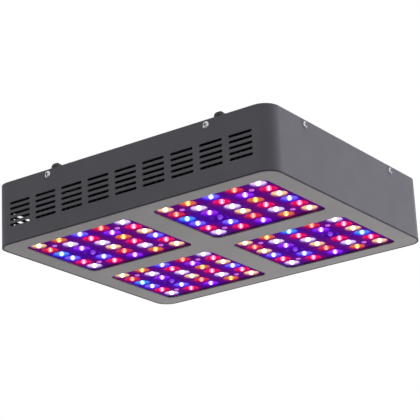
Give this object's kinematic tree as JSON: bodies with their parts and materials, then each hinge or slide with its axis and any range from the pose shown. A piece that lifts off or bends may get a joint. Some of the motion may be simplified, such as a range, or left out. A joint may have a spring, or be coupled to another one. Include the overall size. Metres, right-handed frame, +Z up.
{
  "type": "led grow light",
  "caption": "Hanging LED grow light: slotted steel case, square reflector modules behind windows in its lower face, cooling fans, rocker switches and power sockets on top.",
  "frame": {"origin": "middle of the lower face, which the light comes out of", "axes": "+X to the right along the long side, +Y to the back, +Z up out of the top cover"},
  "size_m": [0.4106, 0.3532, 0.096],
  "materials": {
    "case_paint": "dark grey powder coat, fine texture",
    "reflector_chrome": "metallised plastic, bright",
    "board": "black solder mask on an aluminium core",
    "led_lens": "clear lens over a lit chip",
    "sink_aluminium": "black anodised extrusion",
    "fan_plastic": "glass-filled plastic, matte",
    "impeller_plastic": "moulded plastic, satin",
    "guard_wire": "plated steel wire",
    "lug_steel": "black paint",
    "driver_case": "bare extrusion",
    "socket_plastic": "black moulded plastic",
    "rocker_plastic": "red moulded plastic",
    "screw_steel": "zinc-plated steel",
    "mains_insulation": "brown insulation",
    "led_insulation": "red insulation",
    "fan_insulation": "black insulation"
  },
  "bodies": {
    "case": {"side_band": "case_paint", "lower_shell": "case_paint", "top_cover": "case_paint", "reflector_front_left": "reflector_chrome", "reflector_front_right": "reflector_chrome", "reflector_back_left": "reflector_chrome", "reflector_back_right": "reflector_chrome", "led_board_front_left": "board", "led_board_front_right": "board", "led_board_back_left": "board", "led_board_back_right": "board", "led_emitters_front_left": "led_lens", "led_emitters_front_right": "led_lens", "led_emitters_back_left": "led_lens", "led_emitters_back_right": "led_lens", "heat_sink_front_left": "sink_aluminium", "heat_sink_front_right": "sink_aluminium", "heat_sink_back_left": "sink_aluminium", "heat_sink_back_right": "sink_aluminium", "fan_frame_front_left": "fan_plastic", "fan_frame_front_right": "fan_plastic", "fan_frame_back_left": "fan_plastic", "fan_frame_back_right": "fan_plastic", "fan_guard_front_left": "guard_wire", "fan_guard_front_right": "guard_wire", "fan_guard_back_left": "guard_wire", "fan_guard_back_right": "guard_wire", "hanging_lug_front_left": "lug_steel", "hanging_lug_front_right": "lug_steel", "hanging_lug_back_left": "lug_steel", "hanging_lug_back_right": "lug_steel", "driver_left": "driver_case", "driver_right": "driver_case", "switch_body_left": "socket_plastic", "switch_body_right": "socket_plastic", "power_inlet": "socket_plastic", "power_outlet": "socket_plastic", "case_screws": "screw_steel", "reflector_screws": "screw_steel", "module_studs": "screw_steel", "module_nuts": "screw_steel", "fan_screws": "screw_steel", "lug_screws": "screw_steel", "driver_screws": "screw_steel", "mains_leads": "mains_insulation", "led_leads": "led_insulation", "fan_leads": "fan_insulation"},
    "fan_rotor_front_left": {"fan_impeller_front_left": "impeller_plastic"},
    "fan_rotor_front_right": {"fan_impeller_front_right": "impeller_plastic"},
    "fan_rotor_back_left": {"fan_impeller_back_left": "impeller_plastic"},
    "fan_rotor_back_right": {"fan_impeller_back_right": "impeller_plastic"},
    "switch_left": {"switch_rocker_left": "rocker_plastic"},
    "switch_right": {"switch_rocker_right": "rocker_plastic"}
  },
  "joints": [
    {"name": "fan_spin_front_left", "type": "hinge", "parent": "case", "child": "fan_rotor_front_left", "pos_m": [-0.097, -0.0831, 0.066], "axis": [0, 0, 1], "continuous": true},
    {"name": "fan_spin_front_right", "type": "hinge", "parent": "case", "child": "fan_rotor_front_right", "pos_m": [0.097, -0.0831, 0.066], "axis": [0, 0, 1], "continuous": true},
    {"name": "fan_spin_back_left", "type": "hinge", "parent": "case", "child": "fan_rotor_back_left", "pos_m": [-0.097, 0.0831, 0.066], "axis": [0, 0, 1], "continuous": true},
    {"name": "fan_spin_back_right", "type": "hinge", "parent": "case", "child": "fan_rotor_back_right", "pos_m": [0.097, 0.0831, 0.066], "axis": [0, 0, 1], "continuous": true},
    {"name": "switch_rock_left", "type": "hinge", "parent": "case", "child": "switch_left", "pos_m": [-0.02, 0.092, 0.0785], "axis": [1, 0, 0], "range_deg": [0, 16]},
    {"name": "switch_rock_right", "type": "hinge", "parent": "case", "child": "switch_right", "pos_m": [0.02, 0.092, 0.0785], "axis": [1, 0, 0], "range_deg": [0, 16]}
  ]
}
